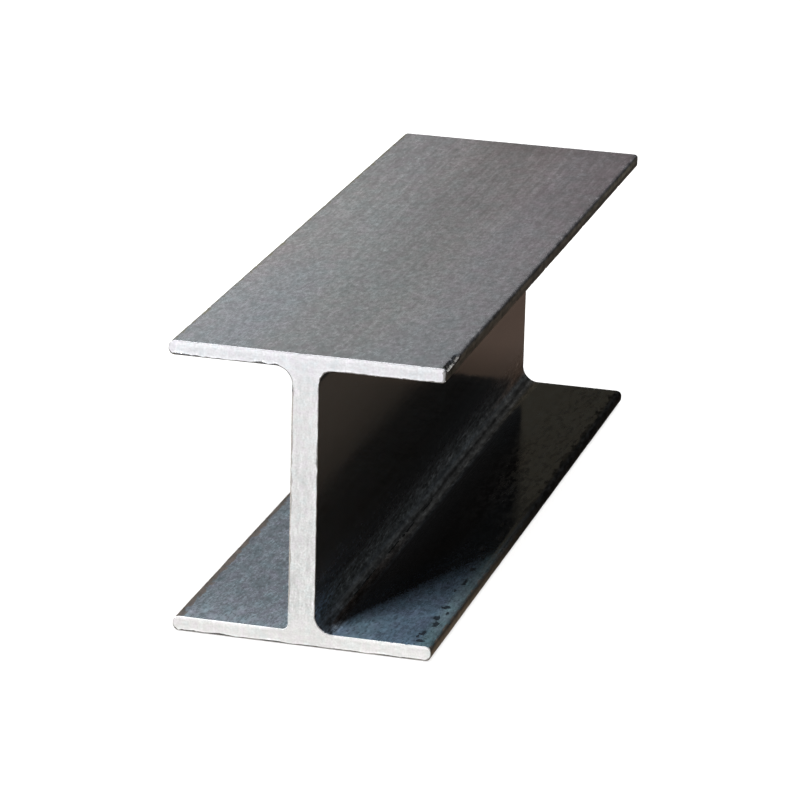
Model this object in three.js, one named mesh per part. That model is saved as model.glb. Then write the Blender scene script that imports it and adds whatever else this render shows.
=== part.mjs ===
// Short length of hot-rolled steel H-beam: one piece of stock, sawn square at both ends and
// lying on its bottom flange. Units are millimetres and +Z is up.
//
//   X  across the flanges, with the web in the plane X = 0
//   Y  along the beam, with the origin halfway between the two sawn ends
//   Z  up, with the outer face of the bottom flange on Z = 0
//
// The whole beam is one extrusion of one closed outline. The outline carries the root
// fillets, where the web runs into the flanges, and the rounding that the rolls leave on
// both edges of every flange toe. The section is as rolled, not as drawn in a mill's table:
// the top flange is a little wider than the bottom one, and each root has a radius of its own.
import * as THREE from "three";

// Driving dimensions, in millimetres
const DEPTH = 112.0; // over the outer faces of the flanges
const TOP_WIDTH = 104.0; // top flange, over its toes
const BOTTOM_WIDTH = 99.0; // bottom flange, over its toes
const WEB = 10.4; // web thickness
const FLANGE = 5.6; // flange thickness
const ROOT_TOP_RIGHT = 5.2; // root fillets between web and flange
const ROOT_TOP_LEFT = 6.5;
const ROOT_BOTTOM_LEFT = 2.2;
const ROOT_BOTTOM_RIGHT = 6.8;
const TOE_RADIUS_OUTER = 2.4; // rounding of a toe towards the flange's outer face
const TOE_RADIUS_INNER = 2.2; // rounding of a toe towards the web side
const LENGTH = 320.0; // between the sawn ends

const ROOT_STEPS = 12; // chords in each root fillet
const TOE_STEPS = 8; // chords in each toe rounding

// Points of a circular arc about (cx, cy), from angle a0 to a1 in degrees, both ends included.
function arc(cx, cy, r, a0, a1, steps) {
  const points = [];
  for (let i = 0; i <= steps; i++) {
    const a = THREE.MathUtils.degToRad(a0 + ((a1 - a0) * i) / steps);
    points.push([cx + r * Math.cos(a), cy + r * Math.sin(a)]);
  }
  return points;
}

// One quarter of the section, as [distance from the web's plane, distance in from the
// flange's outer face], walked from the web through the root fillet, along the flange's
// inner face and round its toe. The flange's outer face and the web's side join the
// quarters to each other.
function quarter(width, root) {
  const toe = width / 2;
  return [
    // root fillet, concave: its centre is in the open channel
    ...arc(WEB / 2 + root, FLANGE + root, root, 180, 270, ROOT_STEPS),
    // toe, convex: the inner corner, then the outer corner
    ...arc(
      toe - TOE_RADIUS_INNER,
      FLANGE - TOE_RADIUS_INNER,
      TOE_RADIUS_INNER,
      90,
      0,
      TOE_STEPS,
    ),
    ...arc(
      toe - TOE_RADIUS_OUTER,
      TOE_RADIUS_OUTER,
      TOE_RADIUS_OUTER,
      0,
      -90,
      TOE_STEPS,
    ),
  ];
}

// The full outline in (X, Z), counter-clockwise from the right side of the web.
function sectionOutline() {
  const topRight = quarter(TOP_WIDTH, ROOT_TOP_RIGHT).map(([u, v]) => [
    u,
    DEPTH - v,
  ]);
  const topLeft = quarter(TOP_WIDTH, ROOT_TOP_LEFT)
    .map(([u, v]) => [-u, DEPTH - v])
    .reverse();
  const bottomLeft = quarter(BOTTOM_WIDTH, ROOT_BOTTOM_LEFT).map(([u, v]) => [
    -u,
    v,
  ]);
  const bottomRight = quarter(BOTTOM_WIDTH, ROOT_BOTTOM_RIGHT)
    .map(([u, v]) => [u, v])
    .reverse();
  return [...topRight, ...topLeft, ...bottomLeft, ...bottomRight];
}

const section = new THREE.Shape(
  sectionOutline().map(([x, z]) => new THREE.Vector2(x, z)),
);

// ExtrudeGeometry runs the outline along its own +Z. Turning it by +90 degrees about X lays
// that axis along -Y and stands the outline's second coordinate up along +Z.
const geometry = new THREE.ExtrudeGeometry(section, {
  depth: LENGTH,
  steps: 1,
  bevelEnabled: false,
});
geometry.rotateX(Math.PI / 2);
geometry.translate(0, LENGTH / 2, 0);

const steel = new THREE.MeshStandardMaterial({
  name: "steel",
  color: new THREE.Color(0.3, 0.31, 0.32),
  roughness: 0.5,
  metalness: 0.9,
});

const beam = new THREE.Mesh(geometry, steel);
beam.name = "h_beam";

const part = new THREE.Group();
part.name = "steel_h_beam";
part.add(beam);

export default part;
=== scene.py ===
# Looks of the steel H-beam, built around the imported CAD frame. Metres, +Z up, +Y along the beam.
import bpy, math
import numpy as np
from mathutils import Matrix, Vector, noise
from mathutils.geometry import delaunay_2d_cdt


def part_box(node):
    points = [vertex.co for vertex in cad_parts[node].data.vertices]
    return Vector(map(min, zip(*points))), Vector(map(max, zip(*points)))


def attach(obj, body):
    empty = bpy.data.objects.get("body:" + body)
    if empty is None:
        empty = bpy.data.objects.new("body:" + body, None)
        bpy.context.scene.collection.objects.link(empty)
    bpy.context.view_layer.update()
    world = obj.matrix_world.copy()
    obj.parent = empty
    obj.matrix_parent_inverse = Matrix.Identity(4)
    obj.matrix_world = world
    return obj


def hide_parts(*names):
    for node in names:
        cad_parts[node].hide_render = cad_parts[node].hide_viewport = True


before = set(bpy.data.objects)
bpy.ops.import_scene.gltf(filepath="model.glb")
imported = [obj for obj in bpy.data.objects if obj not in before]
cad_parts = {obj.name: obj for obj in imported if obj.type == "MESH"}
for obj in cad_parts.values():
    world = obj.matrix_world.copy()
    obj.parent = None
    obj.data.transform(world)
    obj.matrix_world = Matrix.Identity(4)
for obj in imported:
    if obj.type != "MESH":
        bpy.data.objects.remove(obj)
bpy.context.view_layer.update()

scene = bpy.context.scene
scene.view_settings.view_transform = "Standard"
scene.view_settings.look = "None"
scene.view_settings.exposure = 0.0
scene.view_settings.gamma = 1.0

MM = 0.001
lo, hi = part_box("h_beam")
DEPTH = (hi.z - lo.z) / MM      # 112
WIDTH = (hi.x - lo.x) / MM      # 104, the top flange
LENGTH = (hi.y - lo.y) / MM     # 320
BOTTOM = 99.0                   # the bottom flange
WEB, FLANGE = 10.4, 5.6
ROOT_TR, ROOT_TL, ROOT_BL, ROOT_BR = 5.2, 6.5, 2.2, 6.8
TOE_OUT, TOE_IN = 2.4, 2.2
EDGE, FINE = 0.50, 0.55         # the broken edge round each sawn end, and the mesh's spacing behind it
SHARP_OUT, SHARP_IN = 1.5, 1.3    # the upper right toe is rolled sharper

# ---------------------------------------------------------------- camera
def make_camera():
    data = bpy.data.cameras.new("camera")
    cam = bpy.data.objects.new("camera", data)
    scene.collection.objects.link(cam)
    right = Vector((0.96361157, 0.26613861, 0.02495978))
    down = Vector((0.10573244, -0.29372904, -0.95002311))
    forward = Vector((-0.24550641, 0.91809231, -0.31118019))
    m = Matrix.Identity(4)
    for i in range(3):
        m[i][0], m[i][1], m[i][2] = right[i], -down[i], -forward[i]
    m.translation = Vector((0.39341881, -1.33934834 - 0.160, 0.55249619))
    cam.matrix_world = m
    data.sensor_fit = "AUTO"
    data.sensor_width = 36.0
    data.lens = 4088.68 * 36.0 / 801.0
    data.clip_start, data.clip_end = 0.05, 50.0
    scene.camera = cam
    return cam

camera = make_camera()

# ---------------------------------------------------------------- section outline
def arc(cx, cz, r, a0, a1, steps):
    out = []
    for i in range(steps + 1):
        a = math.radians(a0 + (a1 - a0) * i / steps)
        out.append((cx + r * math.cos(a), cz + r * math.sin(a)))
    return out

def flat(p, q, spacing):
    """The points between p and q, without either."""
    n = max(1, round(math.dist(p, q) / spacing))
    return [(p[0] + (q[0] - p[0]) * i / n, p[1] + (q[1] - p[1]) * i / n) for i in range(1, n)]

def quarter(width, r, t_o=TOE_OUT, t_i=TOE_IN):
    """One quarter of the section as (distance from the web's plane, distance in from the flange's outer face)."""
    hw, toe = WEB / 2, width / 2
    root = arc(hw + r, FLANGE + r, r, 180, 270, max(8, round(2.8 * r)))
    t_in = arc(toe - t_i, FLANGE - t_i, t_i, 90, 0, 7)
    t_out = arc(toe - t_o, t_o, t_o, 0, -90, 7 if t_o > 2 else 10)
    fine_in, fine_out = (toe - 19.0, FLANGE), (toe - 12.0, 0.0)
    q = flat((hw, DEPTH / 2), root[0], 2.5) + root
    q += flat(root[-1], fine_in, 2.3) + [fine_in] + flat(fine_in, t_in[0], 1.15) + t_in
    q += flat(t_in[-1], t_out[0], 0.8) + t_out
    return q + flat(t_out[-1], fine_out, 1.2) + [fine_out] + flat(fine_out, (0.0, 0.0), 3.0)

def outline():
    """Closed section outline (x, z) in mm, counter-clockwise from the right side of the web, finest near the toes and roots."""
    hw = WEB / 2
    return np.array([(hw, DEPTH / 2)] + [(u, DEPTH - v) for u, v in quarter(WIDTH, ROOT_TR, SHARP_OUT, SHARP_IN)] + [(0.0, DEPTH)]
                    + [(-u, DEPTH - v) for u, v in reversed(quarter(WIDTH, ROOT_TL))] + [(-hw, DEPTH / 2)]
                    + [(-u, v) for u, v in quarter(BOTTOM, ROOT_BL)] + [(0.0, 0.0)]
                    + [(u, v) for u, v in reversed(quarter(BOTTOM, ROOT_BR))])

def toe_of(z):
    return (WIDTH if z > DEPTH / 2 else BOTTOM) / 2

BASE = outline()
N = len(BASE)

def normals_of(pts):
    """Outward unit normals of the outline's points."""
    d = np.roll(pts, -1, 0) - np.roll(pts, 1, 0)
    d /= np.linalg.norm(d, axis=1)[:, None]
    return np.stack([d[:, 1], -d[:, 0]], 1)

NORMAL = normals_of(BASE)

def fbm(x, y, z, octaves=4):
    return noise.fractal(Vector((x, y, z)), 1.0, 2.1, octaves)

def smooth(a, b, v):
    t = min(1.0, max(0.0, (v - a) / (b - a)))
    return t * t * (3 - 2 * t)

# knocks in the scale of the lower right flange, along its toe: x, y, half width, half length, depth (mm)
KNOCKS = [(44.0, -90.4, 0.75, 3.2, 0.32), (44.0, -118.1, 1.5, 1.4, 0.30), (43.6, -129.9, 1.3, 2.6, 0.34),
          (44.9, -136.6, 1.1, 2.0, 0.30), (43.7, -75.7, 0.9, 1.6, 0.24), (43.0, -146.5, 0.8, 2.4, 0.24),
          (41.3, -149.8, 0.5, 2.2, 0.20), (46.0, -124.7, 0.6, 1.2, 0.18), (43.9, -154.2, 1.2, 1.4, 0.20),
          (43.4, -61.9, 0.6, 2.2, 0.18), (42.7, -100.4, 0.6, 1.2, 0.14), (41.7, -52.5, 0.6, 2.0, 0.14),
          (44.8, -39.6, 0.6, 2.0, 0.14), (41.9, -23.1, 0.5, 2.4, 0.12), (43.4, 5.8, 0.5, 2.6, 0.12)]

TORN = [i for i in range(N) if BASE[i][0] > 49.8 and BASE[i][1] > 107.2]      # the upper right toe, from its side up to the top face

def torn(from_end):
    """Where the saw tore a strip out of the upper right toe: each point's new place in the section, bare metal and dark scale."""
    line = [Vector(BASE[i]) for i in reversed(TORN)]
    run = [0.0]
    for p, q in zip(line, line[1:]):
        run.append(run[-1] + (q - p).length)
    ledge = 109.9 + 0.055 * from_end + 0.30 * fbm(from_end * 0.6, 3.0, 8.0, 2)
    wall = 50.45 + 0.25 * fbm(from_end * 0.8, 1.0, 4.0, 2)
    path = [(0.0, 49.8, 112.0), (0.12, wall - 0.35, 111.9), (0.20, wall - 0.2, 111.6), (0.34, wall + 0.25, ledge + 0.15), (0.40, wall + 0.35, ledge),
            (0.80, 51.95, ledge - 0.12), (0.90, 52.0, ledge - 0.6), (1.0, 52.0, 107.2)]
    on = smooth(20.5, 18.5, from_end) * smooth(1.4, 2.6, from_end) * (1.0 - 0.6 * smooth(0.9, 0.3, abs(from_end - 12.6)))
    part = 1.0 if from_end < 12.6 else 0.70
    out = {}
    for i, p, r in zip(reversed(TORN), line, run):
        u = r / run[-1]
        for (u0, x0, z0), (u1, x1, z1) in zip(path, path[1:]):
            if u <= u1 + 1e-9:
                t = (u - u0) / (u1 - u0)
                x, z = x0 + (x1 - x0) * t, z0 + (z1 - z0) * t
                break
        bright = part * smooth(0.34, 0.42, u) * smooth(0.94, 0.86, u) * smooth(0.35, 0.7, on)
        out[i] = ((x - p.x) * on, (z - p.y) * on, bright, 0.36 * smooth(0.12, 0.18, u) * smooth(0.40, 0.34, u) * smooth(0.3, 0.6, on))
    return out

def seam_x(y):
    """Where the rolling lap runs along the lower right root fillet (mm)."""
    return 8.78 + 0.36 * fbm(y * 0.028, 2.0, 7.0, 3)

def scrap(x):
    """Where scale clings to the arris under the left half of the top flange."""
    return max(smooth(40.0, 43.5, -x), 0.45 * smooth(22.0, 24.0, -x), smooth(9.5, 11.5, -x) * smooth(20.0, 17.0, -x))

# ---------------------------------------------------------------- the beam's mesh
def build_beam():
    half = LENGTH / 2
    edge = EDGE
    steps = (0.0, 0.30, 0.62)
    front = [(-half + edge * (1 - math.sin(math.pi / 2 * (1 - s))), edge * (1 - math.cos(math.pi / 2 * (1 - s)))) for s in steps]
    back = [(-y, i) for y, i in reversed(front)]
    inner = list(np.arange(-half + edge, -half + 24.0, FINE)) + list(np.arange(-half + 24.3, -45.0, 1.15)) + list(np.linspace(-45.0, half - 12.0, 78)) + list(np.linspace(half - 10.8, half - edge, 9))
    stations = front + [(y, 0.0) for y in inner] + back
    M = len(stations)

    verts = np.zeros((M, N, 3))
    marks = np.zeros((M, N, 3))          # r: knocked scale, g: bare metal, b: lap
    for m, (y, inset) in enumerate(stations):
        side = -1 if y < 0 else 1
        from_end = half - abs(y)
        tear = torn(from_end) if y < 0 and from_end < 21 else {}
        for i in range(N):
            x, z = BASE[i]
            nx, nz = NORMAL[i]
            # rolling waviness, long in y, always inwards
            w = 0.03 + 0.04 * fbm(x * 0.03, y * 0.012, z * 0.03 + 7.0, 3)
            w += 0.012 + 0.015 * fbm(x * 0.16, y * 0.05, z * 0.16 + 3.0, 3)
            on_toe = abs(x) > toe_of(z) - 2.2
            if on_toe:
                # toes are rolled less true: swells and small nicks along them
                s = fbm(3.1 + (1 if x > 0 else -1), y * 0.09, z * 0.1, 4)
                w += 0.03 + 0.06 * s
                nick = fbm(y * 0.35, 11.0 + (5 if x > 0 else 0), z * 0.22, 3)
                w += 0.8 * max(0.0, nick - 0.42)
                w += 0.020 * (1 + fbm(y * 0.8, x, z * 0.9, 3))
            if z < DEPTH / 2 and x > WEB / 2 + ROOT_BR and NORMAL[i][1] > 0.9:
                for kx, ky, rx, ry, depth in KNOCKS:
                    if abs(x - kx) < 3.2 and abs(y - ky) < 7:
                        wob = 0.75 * fbm(x * 0.8, y * 0.5, kx, 3)
                        d = math.hypot((x - kx) / rx, (y - ky) / ry) + wob
                        f = smooth(1.35, 0.55, d)
                        w += depth * f
                        marks[m, i, 0] = max(marks[m, i, 0], smooth(1.7, 0.6, d))
            if x > WEB / 2 and z < FLANGE + ROOT_BR + 1 and nx > 0.05 and nz > 0.05:
                gap = fbm(y * 0.055, 5.0, 1.0, 3)
                on = smooth(-0.25, 0.12, gap) * smooth(18, 40, from_end) * smooth(60.0, -10.0, y)
                d = abs(x - seam_x(y))
                w += 0.10 * on * smooth(0.55, 0.05, d)
                marks[m, i, 2] = 0.75 * on * smooth(0.62, 0.15, d)
                # lengthwise roll lines in the root
                w += 0.014 * (1 + fbm(x * 1.3, y * 0.018, z * 1.3, 2))
            ins = inset
            if inset > 0:
                # the sawn edge is broken unevenly
                r = fbm(x * 0.5 + 40, z * 0.5, side * 9.0, 3)
                wide = 0.50
                if nz < -0.3:
                    wide = 1.15 + 0.6 * scrap(x) if z > 50 else 1.5
                elif nx < -0.5 and abs(x) < 6:
                    wide = 1.45
                elif nx > 0.5 and abs(x) < 6:
                    wide = 0.50 + 0.5 * smooth(50.0, 75.0, z)
                elif nx > 0.6 and x > 45 and z > 50 and side < 0:
                    wide = 1.0 + 1.7 * smooth(0.75, 1.0, nx)
                elif abs(nx) > 0.5 and abs(x) > 40:
                    wide = 0.60
                ins = max(0.02, inset * wide * (0.8 + 0.7 * r))
            dx, dz, bright, dark = tear.get(i, (0.0, 0.0, 0.0, 0.0))
            marks[m, i, 0] = max(marks[m, i, 0], dark)
            marks[m, i, 1] = bright
            verts[m, i] = (x + dx - nx * (max(0.0, w) + ins), y, z + dz - nz * (max(0.0, w) + ins))
    faces, mats, flat_ones = [], [], []
    for m in range(M - 1):
        for i in range(N):
            j = (i + 1) % N
            faces.append((m * N + i, (m + 1) * N + i, (m + 1) * N + j, m * N + j))
            x, z = BASE[i]
            k = m if m < M / 2 else M - 2 - m        # 0 is the ring next to the cap
            if max(marks[m, i, 1], marks[m, j, 1], marks[m + 1, i, 1], marks[m + 1, j, 1]) > 0.2:
                flat_ones.append(len(faces) - 1)
            if k < 3:
                r = fbm(x * 0.7 + 3, z * 0.7, (5.0 if m < M / 2 else -5.0), 3)
                keep = (1.0, 0.75, 0.30)[k] + 0.2 * NORMAL[i][1]
                if NORMAL[i][1] < -0.5 and z < 2:
                    # the lower arris keeps a ragged line of scale, partly painted shade standing in for the broken
                    # contact shadow under the bottom flange
                    keep = (-0.35, -0.65, -0.95)[k] + 0.35 * fbm(x * 0.05, z, 3.0, 2) + 0.45 * smooth(5, 30, x)
                elif NORMAL[i][1] < -0.5 and x < -7:
                    # and so does the arris under the left half of the top flange, in two places most of all
                    keep = (0.45, 0.20, -0.15)[k] - 1.2 * scrap(x)
                elif x < -6.0 and 97 < z < 107 and x > -13:
                    # the root above the web's left side
                    keep = (0.15, -0.20, -0.55)[k]
                elif NORMAL[i][0] < -0.5 and -6.5 < x < 0 and z > 40:
                    # and the left side of the web
                    keep = (1.0, 0.60, 0.10)[k]
                mats.append(1 if r + keep > 0.0 else 0)
            else:
                mats.append(0)
    # caps: a fine triangulated sheet inside each rim
    untangle(verts[0])
    untangle(verts[M - 1])
    co = list(map(tuple, verts.reshape(-1, 3)))
    rims = []
    for which, m in (("front", 0), ("back", M - 1)):
        rim = [m * N + i for i in range(N)]
        rims += [(rim[i], rim[(i + 1) % N]) for i in range(N)]
        rim2 = [Vector((verts[m, i, 0], verts[m, i, 2])) for i in range(N)]
        step = 1.0
        inside = []
        for r in range(1, int(DEPTH / (step * 0.866)) + 1):
            z = r * step * 0.866
            for c in range(-int(WIDTH / 2 / step) - 1, int(WIDTH / 2 / step) + 2):
                x = (c + 0.5 * (r % 2)) * step
                if is_inside(x, z, 0.85):
                    jx = 0.16 * fbm(x * 3.1, z * 3.1, 1.0, 1)
                    jz = 0.16 * fbm(x * 3.1, z * 3.1, 9.0, 1)
                    inside.append(Vector((x + jx, z + jz)))
        edges = [(i, (i + 1) % N) for i in range(N)]
        out = delaunay_2d_cdt(rim2 + inside, edges, [], 1, 1e-5)
        vco, tri, vsrc = out[0], out[2], out[3]
        ids = []
        side = -1 if which == "front" else 1
        for k, v in enumerate(vco):
            src = [s for s in vsrc[k] if s < N]
            if src:
                ids.append(rim[src[0]])
                continue
            ids.append(len(co))
            co.append((v[0], side * (half - relief(v[0], v[1], side)), v[1]))
        for t in tri:
            f = tuple(ids[k] for k in t)
            a, b, c = (vco[k] for k in t)
            ccw = (b[0] - a[0]) * (c[1] - a[1]) - (b[1] - a[1]) * (c[0] - a[0]) > 0
            # seen from the front (looking along +Y) x runs right and z up, so ccw faces -Y
            if ccw != (which == "front"):
                f = f[::-1]
            faces.append(f)
            mats.append(1)
    me = bpy.data.meshes.new("h_beam_rolled")
    me.from_pydata([(x * MM, y * MM, z * MM) for x, y, z in co], [], faces)
    me.update()
    me.polygons.foreach_set("material_index", mats)
    me.polygons.foreach_set("use_smooth", [True] * len(faces))
    for f in flat_ones:
        me.polygons[f].use_smooth = False
    col = np.zeros((len(co), 4), np.float32)
    col[:M * N, :3] = marks.reshape(-1, 3)
    cut = np.zeros((M, N))               # alpha: the broken edge round each sawn end
    cut[:4] = cut[-4:] = 1
    col[:M * N, 3] = cut.ravel()
    me.attributes.new("marks", "FLOAT_COLOR", "POINT").data.foreach_set("color", col.ravel())
    # the rim of each sawn face is a crisp arris
    keys = {(min(a, b), max(a, b)) for a, b in rims}
    ev = np.empty(len(me.edges) * 2, np.int32)
    me.edges.foreach_get("vertices", ev)
    ev = np.sort(ev.reshape(-1, 2), 1)
    sharp = np.array([(int(a), int(b)) in keys for a, b in ev])
    me.attributes.new("sharp_edge", "BOOLEAN", "EDGE").data.foreach_set("value", sharp)
    me.validate(verbose=False)
    ob = bpy.data.objects.new("h_beam_rolled", me)
    scene.collection.objects.link(ob)
    return ob

def untangle(ring):
    """Straightens the few rim points between two rim edges that cross each other."""
    n = len(ring)
    for i in range(n):
        p, r = ring[i, [0, 2]], ring[(i + 1) % n, [0, 2]] - ring[i, [0, 2]]
        for k in range(6, 1, -1):
            q = ring[(i + k) % n, [0, 2]]
            s = ring[(i + k + 1) % n, [0, 2]] - q
            d = r[0] * s[1] - r[1] * s[0]
            if abs(d) < 1e-12:
                continue
            t = ((q - p)[0] * s[1] - (q - p)[1] * s[0]) / d
            w = ((q - p)[0] * r[1] - (q - p)[1] * r[0]) / d
            if 0 <= t <= 1 and 0 <= w <= 1:
                last = ring[(i + k + 1) % n].copy()
                for h in range(1, k + 1):
                    ring[(i + h) % n] = ring[i] + (last - ring[i]) * (h / (k + 1))
                break

def is_inside(x, z, gap):
    """Whether (x, z) lies in the section at least gap from its edge (mm)."""
    ax, az = abs(x), min(z, DEPTH - z)
    if az < gap:
        return False
    if az <= FLANGE - gap and ax <= toe_of(z) - gap - 0.6:
        return True
    if ax <= WEB / 2 - gap:
        return True
    # the fillet's corner
    r = ((ROOT_TR if x > 0 else ROOT_TL) if z > DEPTH / 2 else (ROOT_BR if x > 0 else ROOT_BL))
    cx, cz = WEB / 2 + r, FLANGE + r
    return ax < cx and az < cz and math.hypot(ax - cx, az - cz) > r + gap

def relief(x, z, side):
    """How far a point of a sawn end lies inside the end plane (mm): blade chatter and drift."""
    t = z * 0.985 + x * (0.17 if side < 0 else -0.12)
    s = 0.5 + 0.5 * math.sin(t * 2 * math.pi / 4.3 + 1.2 * fbm(x * 0.02, z * 0.05, 4.0 * side, 2))
    return 0.004 + 0.012 * s + 0.012 * (1 + fbm(x * 0.2, z * 0.6, side * 2.0, 3))

beam = build_beam()

# ---------------------------------------------------------------- materials
def nodes_of(name):
    mat = bpy.data.materials.new(name)
    mat.use_nodes = True
    nt = mat.node_tree
    nt.nodes.clear()
    out = nt.nodes.new("ShaderNodeOutputMaterial")
    bsdf = nt.nodes.new("ShaderNodeBsdfPrincipled")
    nt.links.new(bsdf.outputs[0], out.inputs[0])
    return mat, nt, bsdf

class Maker:
    def __init__(self, nt):
        self.nt = nt
        self.tc = nt.nodes.new("ShaderNodeTexCoord")
        self.sep = None

    def link(self, a, b):
        self.nt.links.new(a, b)

    def coords(self, sx=1.0, sy=1.0, sz=1.0, rot=(0, 0, 0), loc=(0, 0, 0)):
        mp = self.nt.nodes.new("ShaderNodeMapping")
        mp.inputs["Scale"].default_value = (sx, sy, sz)
        mp.inputs["Rotation"].default_value = rot
        mp.inputs["Location"].default_value = loc
        self.link(self.tc.outputs["Object"], mp.inputs["Vector"])
        return mp.outputs[0]

    def xyz(self):
        if self.sep is None:
            self.sep = self.nt.nodes.new("ShaderNodeSeparateXYZ")
            self.link(self.tc.outputs["Object"], self.sep.inputs[0])
        return self.sep.outputs

    def noise(self, vec, scale=1.0, detail=3.0, rough=0.55, dist=0.0):
        n = self.nt.nodes.new("ShaderNodeTexNoise")
        n.inputs["Scale"].default_value = scale
        n.inputs["Detail"].default_value = detail
        n.inputs["Roughness"].default_value = rough
        n.inputs["Distortion"].default_value = dist
        self.link(vec, n.inputs["Vector"])
        return n.outputs[0]

    def voronoi(self, vec, scale=1.0, feature="F1", rand=1.0):
        n = self.nt.nodes.new("ShaderNodeTexVoronoi")
        n.feature = feature
        n.inputs["Scale"].default_value = scale
        n.inputs["Randomness"].default_value = rand
        self.link(vec, n.inputs["Vector"])
        return n.outputs

    def ramp(self, fac, stops):
        n = self.nt.nodes.new("ShaderNodeValToRGB")
        els = n.color_ramp.elements
        while len(els) > 1:
            els.remove(els[-1])
        first = True
        for p, c in stops:
            if not isinstance(c, (tuple, list)):
                c = (c, c, c)
            if first:
                e = els[0]; e.position = p; first = False
            else:
                e = els.new(p)
            e.color = (*c, 1.0)
        self.link(fac, n.inputs[0])
        return n.outputs[0]

    def map(self, v, a, b, c, d, clamp=True):
        n = self.nt.nodes.new("ShaderNodeMapRange")
        n.clamp = clamp
        for k, val in zip(("From Min", "From Max", "To Min", "To Max"), (a, b, c, d)):
            n.inputs[k].default_value = val
        self.link(v, n.inputs["Value"])
        return n.outputs[0]

    def math(self, op, a, b=None, clamp=False):
        n = self.nt.nodes.new("ShaderNodeMath")
        n.operation = op
        n.use_clamp = clamp
        for i, v in enumerate((a, b)):
            if v is None:
                continue
            if isinstance(v, (int, float)):
                n.inputs[i].default_value = v
            else:
                self.link(v, n.inputs[i])
        return n.outputs[0]

    def mix(self, fac, a, b, mode="MIX"):
        n = self.nt.nodes.new("ShaderNodeMix")
        n.data_type = "RGBA"
        n.blend_type = mode
        n.clamp_factor = True
        for sock, v in ((n.inputs[0], fac), (n.inputs[6], a), (n.inputs[7], b)):
            if isinstance(v, (int, float)):
                sock.default_value = v
            elif isinstance(v, tuple):
                sock.default_value = (*v, 1.0)
            else:
                self.link(v, sock)
        return n.outputs[2]

    def bump(self, height, strength, distance, normal=None):
        n = self.nt.nodes.new("ShaderNodeBump")
        n.inputs["Strength"].default_value = strength
        n.inputs["Distance"].default_value = distance
        self.link(height, n.inputs["Height"])
        if normal is not None:
            self.link(normal, n.inputs["Normal"])
        return n.outputs[0]

def grey3(k, v):
    n = k.nt.nodes.new("ShaderNodeCombineColor")
    for i in range(3):
        k.link(v, n.inputs[i])
    return n.outputs[0]

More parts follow.
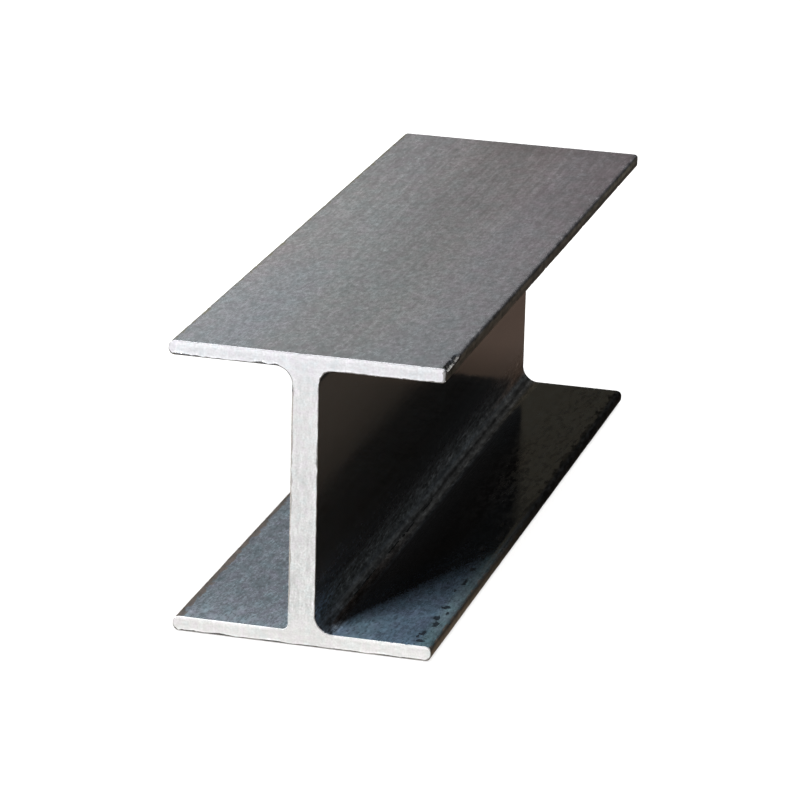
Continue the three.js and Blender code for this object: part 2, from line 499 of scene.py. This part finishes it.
def scale_material():
    """Hot-rolled scale: a thin dark oxide, glossier and bluer inside the channels, satin on the outer faces."""
    mat, nt, bsdf = nodes_of("hot_rolled_scale")
    k = Maker(nt)
    x, y, z = k.xyz()
    marks = nt.nodes.new("ShaderNodeAttribute")
    marks.attribute_name = "marks"
    msep = nt.nodes.new("ShaderNodeSeparateColor")
    k.link(marks.outputs["Color"], msep.inputs[0])
    knock, bare, lap = msep.outputs

    big = k.noise(k.coords(14, 5, 14), 1.0, 3, 0.5)
    cloud = k.noise(k.coords(95, 45, 95, loc=(2, 7, 1)), 1.0, 3, 0.55)
    hue = k.noise(k.coords(210, 120, 210, loc=(9, 2, 4)), 1.0, 2, 0.5)
    streak = k.noise(k.coords(500, 15, 500), 1.0, 3, 0.6)
    brush = k.noise(k.coords(1150, 13, 1150, loc=(4, 6, 2)), 1.0, 2, 0.5)
    coarse = k.noise(k.coords(430, 170, 430, loc=(1, 4, 8)), 1.0, 2, 0.5)
    grain = k.noise(k.coords(950, 360, 950), 1.0, 2, 0.5)
    fine = k.noise(k.coords(1700, 800, 1700, loc=(5, 5, 5)), 1.0, 1, 0.5)

    # where: 1 inside the channels, 0 on the outer faces of the flanges
    mid = k.math("ABSOLUTE", k.math("SUBTRACT", z, 0.056))
    inner = k.map(mid, 0.0532, 0.0548, 1.0, 0.0)
    low = k.math("MULTIPLY", k.map(z, 0.030, 0.004, 0.0, 1.0), inner)
    right = k.map(x, -0.004, 0.004, 0.0, 1.0)
    ax = k.math("ABSOLUTE", x)
    root = k.math("MULTIPLY", k.math("MULTIPLY", k.map(x, 0.0136, 0.0112, 0.0, 1.0), k.map(z, 0.024, 0.012, 0.0, 1.0)), k.math("MULTIPLY", inner, right))
    out = k.math("SUBTRACT", ax, k.map(z, 0.050, 0.060, 0.0495, 0.0520))          # how far past the toe's tip: always below 0

    # tint: blue-grey drifting to a warmer, darker purple-grey across the top, which is also painted lighter on the
    # left and darker to the right: a painted light falloff
    tint = k.ramp(big, [(0.30, (0.119, 0.129, 0.138)), (0.52, (0.127, 0.130, 0.134)), (0.72, (0.134, 0.127, 0.128))])
    # painted light falloff: the top's colour runs from x1.12 on the left to x0.88 on the right
    across = k.map(k.math("ADD", x, k.math("MULTIPLY", k.math("SUBTRACT", cloud, 0.5), 0.05)), -0.042, 0.050, 1.12, 0.88)
    warm = k.map(k.math("ADD", x, k.math("MULTIPLY", y, 0.35)), -0.02, 0.10, 0.0, 1.0)
    upper = k.map(z, 0.08, 0.10, 0.0, 1.0)
    # darker over the web, most of all towards the far end; painted darker along the far right margin and at the far
    # end, and lighter along the far left margin, as part of the same painted light falloff
    dip = k.math("MULTIPLY", k.map(k.math("ABSOLUTE", k.math("SUBTRACT", x, 0.0015)), 0.005, 0.021, 1.0, 0.0), k.map(y, -0.06, 0.06, 0.07, 0.14))
    margin = k.math("MULTIPLY", k.map(x, 0.012, 0.043, 0.0, 0.10), k.map(y, 0.030, 0.055, 0.0, 1.0))
    last = k.math("MULTIPLY", k.map(y, 0.138, 0.152, 0.0, 0.11), k.map(x, -0.020, -0.005, 0.0, 1.0))
    dip = k.math("SUBTRACT", k.math("ADD", dip, k.math("ADD", margin, last)), k.map(x, -0.036, -0.045, 0.03, 0.07))
    across = k.math("SUBTRACT", across, dip)
    tint = k.mix(k.math("MULTIPLY", warm, upper), tint, (0.130, 0.115, 0.124))
    tint = k.mix(1.0, tint, grey3(k, k.math("ADD", 1.0, k.math("MULTIPLY", k.math("SUBTRACT", across, 1.0), upper))), "MULTIPLY")
    inboard = k.math("MULTIPLY", k.map(ax, 0.014, 0.030, 1.0, 0.0), k.map(y, -0.15, -0.09, 0.1, 1.0))
    cast = k.mix(k.map(x, 0.014, 0.030, 0.0, 1.0), (1.0, 1.0, 1.0), (0.986, 1.0, 1.022))
    cast = k.mix(inboard, cast, (1.016, 1.0, 0.978))
    cast = k.mix(k.math("MULTIPLY", k.map(x, -0.015, -0.030, 0.0, 1.0), k.map(y, -0.02, -0.06, 0.0, 1.0)), cast, (0.976, 1.0, 1.034))
    tint = k.mix(upper, tint, k.mix(1.0, tint, cast, "MULTIPLY"))
    tint = k.mix(k.math("MULTIPLY", low, 0.9), tint, k.mix(right, (0.096, 0.117, 0.138), (0.075, 0.122, 0.176)))
    # painted light: its toe strip is painted paler near the front, where the light falls, as a painted highlight, and
    # so is a spot by the root at the near end, as a painted pool of light
    painted_toe_sheen = k.math("MULTIPLY", k.math("MULTIPLY", k.math("MULTIPLY", low, right), k.map(y, -0.06, 0.01, 1.0, 0.0)), k.map(out, -0.0075, -0.0040, 0.0, 0.8))
    tint = k.mix(painted_toe_sheen, tint, k.mix(k.map(y, -0.148, -0.134, 0.0, 1.0), (0.094, 0.150, 0.166), (0.128, 0.192, 0.212)))
    painted_light_patch = k.math("MULTIPLY", k.math("MULTIPLY", k.map(y, -0.128, -0.145, 0.0, 1.0), k.math("MULTIPLY", k.map(x, 0.032, 0.022, 0.0, 1.0), k.map(x, 0.0135, 0.0165, 0.0, 1.0))), k.math("MULTIPLY", low, right))
    tint = k.mix(painted_light_patch, tint, (0.100, 0.146, 0.186))
    hues = k.ramp(hue, [(0.32, (0.93, 1.01, 1.01)), (0.5, (1.0, 1.0, 1.0)), (0.68, (1.05, 0.97, 1.02))])
    hues = k.mix(k.math("MULTIPLY", upper, 0.45), hues, (1.0, 1.0, 1.0))
    tint = k.mix(1.0, tint, hues, "MULTIPLY")
    # painted shade: the lower left flange is painted lighter at the near end and darker further in, under the top
    # flange
    painted_shade_left = k.math("MULTIPLY", low, k.math("SUBTRACT", 1.0, right))
    tint = k.mix(1.0, tint, grey3(k, k.math("ADD", 1.0, k.math("MULTIPLY", painted_shade_left, k.map(y, -0.152, -0.128, 0.12, -0.15)))), "MULTIPLY")

    # painted light: the foot of the web, just above the root, is painted paler and bluer
    foot = k.math("MULTIPLY", k.math("MULTIPLY", k.map(z, 0.0340, 0.0125, 0.0, 1.0), k.map(ax, 0.0066, 0.0058, 0.0, 1.0)), inner)
    tint = k.mix(k.math("MULTIPLY", foot, 0.85), tint, (0.185, 0.214, 0.258))
    # low in the channels the scale is patchier and less drawn out
    mottled = k.math("MAXIMUM", root, k.math("MULTIPLY", k.math("MULTIPLY", foot, right), k.map(y, 0.02, 0.09, 0.65, 0.0)))
    patchy = k.math("ADD", 1.0, k.math("ADD", k.math("MULTIPLY", low, 1.1), k.math("MULTIPLY", mottled, 1.3)))
    drawn = k.math("SUBTRACT", 1.0, k.math("MULTIPLY", low, 0.55))
    def spread(v, centre, gain, amount=patchy):
        return k.math("ADD", 1.0, k.math("MULTIPLY", k.math("MULTIPLY", k.math("SUBTRACT", v, centre), gain), amount))
    lined = k.math("MULTIPLY", drawn, k.math("SUBTRACT", 1.0, k.math("MULTIPLY", upper, k.map(y, -0.06, 0.08, 0.68, 0.0))))
    grainy = k.math("ADD", patchy, k.math("MULTIPLY", upper, 0.25))
    v = k.math("MULTIPLY", spread(streak, 0.5, 0.52, lined), spread(coarse, 0.5, 0.46))
    v = k.math("MULTIPLY", v, k.math("MULTIPLY", spread(grain, 0.5, 0.66, grainy), spread(fine, 0.5, 0.46, grainy)))
    v = k.math("MULTIPLY", v, k.math("MULTIPLY", spread(cloud, 0.5, 0.16), spread(brush, 0.5, 0.46, k.math("MULTIPLY", drawn, k.math("SUBTRACT", 1.0, k.math("MULTIPLY", upper, k.map(y, -0.06, 0.08, 0.80, 0.0)))))))
    rolled = k.math("MULTIPLY", k.math("SUBTRACT", k.math("ADD", k.math("MULTIPLY", streak, 0.5), k.math("MULTIPLY", brush, 0.5)), 0.5), mottled)
    v = k.math("MULTIPLY", v, k.math("ADD", 1.0, k.math("MULTIPLY", rolled, 1.5)))
    strand = k.noise(k.coords(720, 150, 720, loc=(3, 8, 5)), 1.0, 3, 0.6)
    v = k.math("MULTIPLY", v, k.math("ADD", 1.0, k.math("MULTIPLY", k.math("MULTIPLY", k.math("SUBTRACT", strand, 0.49), mottled), 5.0)))
    # the top has no deep pits, and a coarser mottle towards its far end
    v = k.math("MAXIMUM", v, k.math("MULTIPLY", upper, 0.84))
    swarm = k.noise(k.coords(300, 90, 300, loc=(8, 1, 6)), 1.0, 2, 0.55)
    v = k.math("MULTIPLY", v, k.math("ADD", 1.0, k.math("MULTIPLY", k.math("MULTIPLY", k.math("SUBTRACT", swarm, 0.5), 0.55), k.math("MULTIPLY", upper, k.map(y, -0.06, 0.12, 0.0, 1.0)))))
    beyond = k.math("MULTIPLY", k.math("MULTIPLY", low, right), k.map(y, -0.05, 0.03, 0.0, 1.0))
    v = k.math("MULTIPLY", v, k.math("ADD", 1.0, k.math("MULTIPLY", k.math("MULTIPLY", k.math("SUBTRACT", swarm, 0.5), 2.6), beyond)))
    # its near part is blotched rather than streaked
    blot = k.noise(k.coords(470, 290, 470, loc=(1, 9, 2)), 1.0, 2, 0.5)
    v = k.math("MULTIPLY", v, k.math("ADD", 1.0, k.math("MULTIPLY", k.math("MULTIPLY", k.math("SUBTRACT", blot, 0.5), 0.50), k.math("MULTIPLY", upper, k.map(y, 0.10, -0.02, 0.35, 1.0)))))
    # a few pale scuffs across the top
    scuff = k.noise(k.coords(210, 900, 210, loc=(6, 3, 3)), 1.0, 1, 0.5)
    scuff = k.math("MULTIPLY", k.map(scuff, 0.755, 0.80, 0.0, 0.30), upper)
    v = k.math("MULTIPLY", v, k.math("ADD", 1.0, scuff))
    # the root fillet is paler, and painted paler and bluer still at the near end where the light reaches it: painted
    # light
    tint = k.mix(root, tint, k.mix(k.map(y, -0.125, -0.156, 0.0, 1.0), (0.200, 0.208, 0.216), (0.180, 0.236, 0.305)))
    # painted shade: the lower edge of the root is painted darker from just behind the near end, fading out by y -0.06
    below = k.math("MULTIPLY", root, k.map(x, 0.0088, 0.0108, 0.0, 1.0))
    tint = k.mix(k.math("MULTIPLY", k.math("MULTIPLY", below, k.map(y, -0.145, -0.125, 0.0, 0.55)), k.map(y, -0.10, -0.06, 1.0, 0.0)), tint, (0.036, 0.044, 0.056))
    # painted light and shade on the right root: painted paler from about 9 to 19 mm up and darker below, its lower
    # edge paler again at the near end and towards the far end
    painted_root_band = k.math("ADD", k.math("SUBTRACT", k.map(z, 0.0190, 0.0150, 1.0, 1.9), k.map(z, 0.0110, 0.0088, 0.0, 1.26)), k.math("MULTIPLY", k.map(z, 0.0084, 0.0066, 0.0, 1.0), k.map(y, -0.055, -0.030, 0.36, -0.10)))
    painted_root_band = k.math("ADD", painted_root_band, k.math("MULTIPLY", below, k.math("ADD", k.map(y, -0.10, -0.04, 0.0, 0.80), k.map(y, -0.138, -0.150, 0.0, 1.1))))
    tint = k.mix(k.math("MULTIPLY", inner, right), tint, k.mix(1.0, tint, grey3(k, painted_root_band), "MULTIPLY"))
    # painted shadow: behind the shadow edge cast by the web, the lower right flange is painted near black
    shade = k.math("MULTIPLY", k.map(k.math("SUBTRACT", y, k.math("MULTIPLY", x, 2.7)), -0.160, -0.135, 0.0, 1.0), k.math("MULTIPLY", k.map(x, 0.030, 0.036, 1.0, 0.0), k.map(y, 0.05, 0.09, 1.0, 0.0)))
    tint = k.mix(k.math("MULTIPLY", k.math("MULTIPLY", shade, k.math("MULTIPLY", low, right)), k.map(x, 0.0118, 0.0130, 0.0, 1.0)), tint, (0.048, 0.032, 0.030))
    # painted shade: the root is painted darker towards the far end
    tint = k.mix(k.math("MULTIPLY", root, k.map(y, 0.04, 0.14, 0.0, 1.0)), tint, (0.170, 0.163, 0.158))
    col = k.mix(1.0, tint, grey3(k, k.math("MAXIMUM", v, 0.05)), "MULTIPLY")

    # toes: a thin coat of brown oxide; the side of the upper right toe is painted pale instead, paler towards the far
    # end and darker along its lower part and its top edge: painted light and shade
    wander = k.math("ADD", out, k.map(coarse, 0.3, 0.7, -0.0005, 0.0005))
    toe = k.map(wander, -0.0011, -0.0006, 0.0, 1.0)
    toe_side_painted_light = k.mix(k.map(y, 0.0, 0.14, 0.0, 1.0), (0.470, 0.440, 0.425), (0.860, 0.845, 0.790))
    toe_side_painted_light = k.mix(k.map(z, 0.1088, 0.1096, 1.0, 0.0), toe_side_painted_light, k.mix(1.0, toe_side_painted_light, k.mix(k.map(y, -0.03, 0.06, 0.0, 1.0), (0.50, 0.48, 0.45), (0.16, 0.16, 0.16)), "MULTIPLY"))
    toe_side_painted_light = k.mix(k.map(z, 0.1106, 0.1113, 0.0, 1.0), toe_side_painted_light, (0.140, 0.137, 0.143))
    brown = k.mix(low, k.mix(right, (0.074, 0.068, 0.052), toe_side_painted_light), (0.135, 0.098, 0.070))
    brown = k.mix(1.0, brown, grey3(k, k.map(coarse, 0.3, 0.7, 0.35, 1.65)), "MULTIPLY")
    col = k.mix(k.math("MULTIPLY", toe, 0.85), col, brown)
    # the left toes show it as a dark line along the upper edge
    ragged = k.math("ADD", out, k.map(k.math("ADD", coarse, k.math("MULTIPLY", k.math("SUBTRACT", grain, 0.5), 0.7)), 0.3, 0.7, -0.0010, 0.0010))
    line = k.math("MULTIPLY", k.map(ragged, -0.0034, -0.0029, 0.0, 1.0), k.map(x, -0.01, -0.02, 0.0, 1.0))
    line = k.math("MULTIPLY", line, k.math("MAXIMUM", low, k.map(ragged, -0.0025, -0.0016, 0.0, 1.0)))
    rust = k.mix(low, (0.076, 0.074, 0.056), (0.053, 0.043, 0.039))
    rust = k.mix(1.0, rust, grey3(k, k.map(coarse, 0.3, 0.7, 0.55, 1.45)), "MULTIPLY")
    col = k.mix(k.math("MULTIPLY", line, 0.92), col, rust)
    # the lower right toe's far part has a black ragged upper edge
    far_toe_black_edge = k.math("MULTIPLY", k.math("MULTIPLY", k.map(k.math("ADD", ragged, k.map(swarm, 0.35, 0.65, -0.0008, 0.0008)), -0.0036, -0.0028, 0.0, 0.9), k.map(y, -0.05, 0.01, 0.0, 1.0)), k.math("MULTIPLY", low, right))
    col = k.mix(far_toe_black_edge, col, (0.016, 0.013, 0.011))
    # knocks and the lap hold black scale; torn steel is bare
    edge = k.math("ADD", k.math("MULTIPLY", k.math("SUBTRACT", fine, 0.5), 0.5), k.math("MULTIPLY", k.math("SUBTRACT", grain, 0.5), 0.9))
    dark = k.map(k.math("ADD", k.math("MAXIMUM", knock, lap), edge), 0.40, 0.58, 0.0, 0.93)
    col = k.mix(dark, col, (0.010, 0.014, 0.020))
    shine = k.map(k.math("ADD", bare, k.math("MULTIPLY", edge, 0.5)), 0.28, 0.45, 0.0, 1.0)
    col = k.mix(shine, col, k.mix(k.map(bare, 0.6, 1.0, 0.0, 1.0), (0.075, 0.073, 0.070), (0.235, 0.232, 0.222)))
    k.link(col, bsdf.inputs["Base Color"])
    k.link(k.math("ADD", 0.35, k.math("MULTIPLY", root, 0.50)), bsdf.inputs["Metallic"])
    bsdf.inputs["IOR"].default_value = 1.6
    r = k.math("ADD", k.map(inner, 0.0, 1.0, 0.235, 0.115), k.math("ADD", k.math("MULTIPLY", root, 0.10), k.math("MULTIPLY", foot, 0.16)))
    r = k.math("ADD", r, k.math("MULTIPLY", k.math("SUBTRACT", grain, 0.5), k.map(inner, 0, 1, 0.16, 0.12)))
    r = k.math("ADD", r, k.math("MULTIPLY", k.math("SUBTRACT", streak, 0.5), 0.08))
    r = k.math("ADD", r, k.math("MULTIPLY", toe, 0.22))
    # and in duller pocks on the far part of the lower right flange
    pocks = k.noise(k.coords(620, 190, 620, loc=(5, 2, 9)), 1.0, 2, 0.55)
    r = k.math("ADD", r, k.math("MULTIPLY", k.map(pocks, 0.42, 0.62, -0.02, 0.22), k.math("MULTIPLY", beyond, k.map(x, 0.018, 0.030, 0.0, 1.0))))
    r = k.math("ADD", r, k.math("MULTIPLY", k.math("MAXIMUM", dark, far_toe_black_edge), 0.3))
    k.link(k.math("MAXIMUM", r, 0.06), bsdf.inputs["Roughness"])
    h = k.math("ADD", k.math("MULTIPLY", grain, 0.5), k.math("MULTIPLY", streak, 0.5))
    n = k.bump(h, 0.30, 0.00008)
    lines = k.math("MULTIPLY", k.math("ADD", brush, streak), k.math("ADD", 0.08, k.math("MULTIPLY", root, 0.92)))
    n = k.bump(lines, 0.45, 0.00012, n)
    k.link(n, bsdf.inputs["Normal"])
    return mat

def sawn_material():
    """Bright sawn steel: near white, faintly mottled, greyer down the web."""
    mat, nt, bsdf = nodes_of("sawn_end")
    k = Maker(nt)
    x, y, z = k.xyz()
    cloud = k.noise(k.coords(110, 110, 110, loc=(3, 1, 6)), 1.0, 2, 0.5)
    along = k.noise(k.coords(230, 400, 620), 1.0, 3, 0.6)
    down = k.noise(k.coords(640, 400, 210, loc=(2, 2, 2)), 1.0, 3, 0.6)
    fine = k.noise(k.coords(1300, 1300, 1300), 1.0, 2, 0.6)
    hue = k.noise(k.coords(360, 360, 360, loc=(7, 7, 7)), 1.0, 2, 0.5)
    lines = k.noise(k.coords(900, 60, 120, rot=(0, 0.09, 0)), 1.0, 2, 0.5)
    web = k.math("MULTIPLY", k.map(k.math("ABSOLUTE", x), 0.0052, 0.0075, 1.0, 0.0), k.map(k.math("ABSOLUTE", k.math("SUBTRACT", z, 0.056)), 0.041, 0.051, 1.0, 0.0))
    mott = k.math("ADD", k.math("MULTIPLY", down, web), k.math("MULTIPLY", along, k.math("SUBTRACT", 1.0, web)))
    lower = k.map(z, 0.085, 0.015, 0.0, 1.0)
    col = k.mix(lower, (0.690, 0.703, 0.738), (0.745, 0.768, 0.778))
    col = k.mix(web, col, k.mix(lower, (0.668, 0.680, 0.696), (0.664, 0.690, 0.704)))
    gain = k.math("ADD", 1.0, k.math("MULTIPLY", web, k.math("ADD", 0.3, k.math("MULTIPLY", lower, 0.7))))
    def spread(v, g):
        return k.math("ADD", 1.0, k.math("MULTIPLY", k.math("MULTIPLY", k.math("SUBTRACT", v, 0.5), g), gain))
    v = k.math("MULTIPLY", k.math("MULTIPLY", spread(mott, 0.34), spread(fine, 0.36)), k.math("MULTIPLY", spread(lines, 0.16), spread(cloud, 0.12)))
    # the face is a little brighter along its edges, and painted brighter still along the upper edge of each flange: a
    # painted highlight
    off = k.math("ABSOLUTE", k.math("SUBTRACT", k.math("ABSOLUTE", k.math("SUBTRACT", z, 0.056)), 0.0532))
    rims = k.math("MULTIPLY", k.map(off, 0.0014, 0.0025, 0.0, 0.06), k.map(k.math("ABSOLUTE", x), 0.011, 0.014, 0.0, 1.0))
    rims = k.math("ADD", rims, k.math("MULTIPLY", k.map(k.math("ABSOLUTE", x), 0.0030, 0.0046, 0.0, 0.06), web))
    painted_edge_highlight = k.math("ADD", k.map(z, 0.1100, 0.1108, 0.0, 0.11), k.math("MULTIPLY", k.math("MULTIPLY", k.map(z, 0.0042, 0.0049, 0.0, 0.11), k.map(z, 0.0075, 0.0062, 0.0, 1.0)), k.map(k.math("ABSOLUTE", x), 0.010, 0.013, 0.0, 1.0)))
    v = k.math("MULTIPLY", v, k.math("ADD", 0.985, k.math("ADD", rims, painted_edge_highlight)))
    v = k.math("MULTIPLY", v, k.math("ADD", 1.0, k.math("MULTIPLY", k.math("MULTIPLY", k.map(x, 0.008, 0.022, 0.0, 1.0), lower), 0.08)))
    col = k.mix(1.0, col, grey3(k, v), "MULTIPLY")
    hues = k.ramp(hue, [(0.32, (0.965, 1.0, 1.008)), (0.5, (1.0, 1.0, 1.0)), (0.68, (1.012, 0.985, 1.018))])
    col = k.mix(1.0, col, hues, "MULTIPLY")
    # a warm edge where the blade left the left side of the web
    rim = k.math("MULTIPLY", k.map(x, -0.0044, -0.0050, 0.0, 1.0), k.map(k.math("ABSOLUTE", k.math("SUBTRACT", z, 0.056)), 0.036, 0.041, 1.0, 0.0))
    col = k.mix(k.math("MULTIPLY", rim, k.map(cloud, 0.4, 0.6, 0.15, 0.7)), col, (0.70, 0.64, 0.57))
    # painted shade: the broken arris is painted darker than the face, less so low down, holding back its highlight
    marks = nt.nodes.new("ShaderNodeAttribute")
    marks.attribute_name = "marks"
    arris = k.map(marks.outputs["Alpha"], 0.82, 0.96, 0.0, 1.0)
    up = k.math("MAXIMUM", k.map(z, 0.1108, 0.1113, 0.0, 1.0), k.math("MULTIPLY", k.map(z, 0.0046, 0.0052, 0.0, 1.0), k.map(z, 0.016, 0.012, 0.0, 1.0)))
    leftish = k.math("MULTIPLY", k.map(x, -0.0044, -0.0048, 0.0, 1.0), k.map(k.math("ABSOLUTE", k.math("SUBTRACT", z, 0.056)), 0.040, 0.046, 1.0, 0.0))
    arris_painted_shade = k.mix(up, k.mix(leftish, (0.45, 0.44, 0.42), (0.42, 0.395, 0.37)), k.mix(lower, (0.47, 0.46, 0.455), (0.60, 0.59, 0.58)))
    col = k.mix(arris, col, k.mix(1.0, col, arris_painted_shade, "MULTIPLY"))
    k.link(col, bsdf.inputs["Base Color"])
    bsdf.inputs["Metallic"].default_value = 0.55
    r = k.math("ADD", k.map(fine, 0.3, 0.7, 0.40, 0.54), k.math("MULTIPLY", arris, k.map(k.math("MAXIMUM", up, leftish), 0.0, 1.0, 0.20, 0.50)))
    k.link(k.math("MINIMUM", r, 1.0), bsdf.inputs["Roughness"])
    n = k.bump(lines, 0.25, 0.00006)
    n = k.bump(fine, 0.15, 0.00004, n)
    k.link(n, bsdf.inputs["Normal"])
    return mat

beam.data.materials.append(scale_material())
beam.data.materials.append(sawn_material())

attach(beam, "root")
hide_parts("h_beam")

# ---------------------------------------------------------------- studio
def plane(name, size, z, loc=(0, 0)):
    me = bpy.data.meshes.new(name)
    s = size / 2
    me.from_pydata([(-s + loc[0], -s + loc[1], z), (s + loc[0], -s + loc[1], z), (s + loc[0], s + loc[1], z), (-s + loc[0], s + loc[1], z)], [], [(0, 1, 2, 3)])
    ob = bpy.data.objects.new(name, me)
    scene.collection.objects.link(ob)
    return ob

floor = plane("floor", 14.0, -0.0002)
fm = bpy.data.materials.new("floor")
fm.use_nodes = True
fb = fm.node_tree.nodes["Principled BSDF"]
fb.inputs["Base Color"].default_value = (0.86, 0.86, 0.855, 1)
fb.inputs["Roughness"].default_value = 0.9
fb.inputs["Specular IOR Level"].default_value = 0.1
floor.data.materials.append(fm)
floor.visible_diffuse = False
floor.visible_glossy = False
floor.visible_shadow = False

# a dark warm table top below the floor: what the sides of the beam mirror
card = plane("dark_table", 14.0, -0.004)
cm = bpy.data.materials.new("dark_table")
cm.use_nodes = True
nt = cm.node_tree
nt.nodes.clear()
out = nt.nodes.new("ShaderNodeOutputMaterial")
em = nt.nodes.new("ShaderNodeEmission")
nt.links.new(em.outputs[0], out.inputs[0])
k = Maker(nt)
cx, cy, cz = k.xyz()
# dim beside the beam where its shadow falls, brighter towards the back, lit in front
side = k.map(k.math("ABSOLUTE", cx), 0.052, 0.098, 0.0, 1.0)
back = k.map(cy, 0.165, 0.180, 0.0, 1.0)
near = k.map(cy, -0.02, -0.10, 0.0, 1.0)
side = k.math("MAXIMUM", side, back)
table = k.mix(side, (0.040, 0.033, 0.027), (0.125, 0.101, 0.082))
table = k.mix(back, table, (0.118, 0.083, 0.063))
table = k.mix(k.map(cy, 0.196, 0.240, 0.0, 1.0), table, (0.204, 0.143, 0.113))
table = k.mix(near, table, (0.30, 0.235, 0.175))
far = k.mix(k.map(cy, 0.20, 0.32, 0.0, 1.0), (0.060, 0.053, 0.040), (0.100, 0.094, 0.078))
table = k.mix(k.map(k.math("ABSOLUTE", cx), 0.098, 0.125, 0.0, 1.0), table, far)
k.link(table, em.inputs["Color"])
em.inputs["Strength"].default_value = 1.0
card.data.materials.append(cm)
card.visible_camera = False
card.visible_shadow = False
card.visible_transmission = False

def area(name, az, el, dist, sx, sy, power, color=(1, 1, 1), target=(0, 0, 0.055)):
    """A soft box: az from -Y towards +X (0 is in front), el above the floor."""
    a, e = math.radians(az), math.radians(el)
    t = Vector(target)
    pos = t + dist * Vector((math.sin(a) * math.cos(e), -math.cos(a) * math.cos(e), math.sin(e)))
    ld = bpy.data.lights.new(name, "AREA")
    ld.shape = "RECTANGLE"
    ld.size, ld.size_y = sx, sy
    ld.energy = power
    ld.color = color
    ob = bpy.data.objects.new(name, ld)
    ob.location = pos
    ob.rotation_euler = (t - pos).to_track_quat("-Z", "Y").to_euler()
    ob.visible_camera = False
    scene.collection.objects.link(ob)
    return ob

beam_only = bpy.data.collections.new("beam_only")
beam_only.objects.link(beam)
floor_only = bpy.data.collections.new("floor_only")
floor_only.objects.link(floor)

LAMPS = [
    # name, az, el, dist, size x, size y, power
    ("key", -29.5, 36, 1.6, 0.54, 0.45, 56),
    ("left_softbox", -85, 45, 0.60, 0.45, 0.45, 5.5),
    ("overhead_softbox", -75, 68, 0.8, 0.5, 0.6, 5.6),
    ("front_fill", -14, 10, 1.5, 0.7, 0.4, 0.6),
]
for lamp in LAMPS:
    ob = area(*lamp)
    ob.light_linking.receiver_collection = beam_only
fl = bpy.data.lights.new("floor_fill", "SUN")
fl.energy = 2.7
fl.angle = math.radians(120)
flo = bpy.data.objects.new("floor_fill", fl)
scene.collection.objects.link(flo)
flo.light_linking.receiver_collection = floor_only
fs = bpy.data.lights.new("floor_base", "SUN")
fs.energy = 2.3
fs.use_shadow = False
fso = bpy.data.objects.new("floor_base", fs)
scene.collection.objects.link(fso)
fso.light_linking.receiver_collection = floor_only

def make_world():
    world = bpy.data.worlds.new("world")
    scene.world = world
    world.use_nodes = True
    wn = world.node_tree
    wn.nodes.clear()
    k = Maker(wn)
    wo = wn.nodes.new("ShaderNodeOutputWorld")
    lp = wn.nodes.new("ShaderNodeLightPath")
    b1 = wn.nodes.new("ShaderNodeBackground"); b1.inputs[0].default_value = (1.0, 1.0, 1.0, 1); b1.inputs[1].default_value = 1.0
    b2 = wn.nodes.new("ShaderNodeBackground")
    sp = wn.nodes.new("ShaderNodeSeparateXYZ")
    wn.links.new(k.tc.outputs["Generated"], sp.inputs[0])
    dx, dy, dz = sp.outputs
    # a dark room with a dim wall behind the beam: olive on the left, a paler haze low on the right
    haze = k.mix(k.map(dz, 0.02, 0.24, 0.0, 1.0), (0.100, 0.122, 0.140), (0.124, 0.126, 0.124))
    gx, gz = k.math("SUBTRACT", dx, 0.2455), k.math("SUBTRACT", dz, 0.311)
    gap = k.math("SQRT", k.math("ADD", k.math("MULTIPLY", gx, gx), k.math("MULTIPLY", gz, gz)))
    haze = k.mix(1.0, haze, grey3(k, k.map(gap, 0.043, 0.098, 0.03, 1.0)), "MULTIPLY")
    wall = k.mix(k.map(dx, -0.12, 0.04, 0.0, 1.0), (0.108, 0.097, 0.074), haze)
    there = k.math("MULTIPLY", k.map(dy, 0.70, 0.90, 0.0, 1.0), k.map(dz, 0.56, 0.42, 0.0, 1.0))
    sky = k.mix(there, (0.0042, 0.0038, 0.0042), wall)
    wn.links.new(sky, b2.inputs[0])
    mx = wn.nodes.new("ShaderNodeMixShader")
    wn.links.new(lp.outputs["Is Camera Ray"], mx.inputs[0])
    wn.links.new(b2.outputs[0], mx.inputs[1])
    wn.links.new(b1.outputs[0], mx.inputs[2])
    wn.links.new(mx.outputs[0], wo.inputs[0])

make_world()
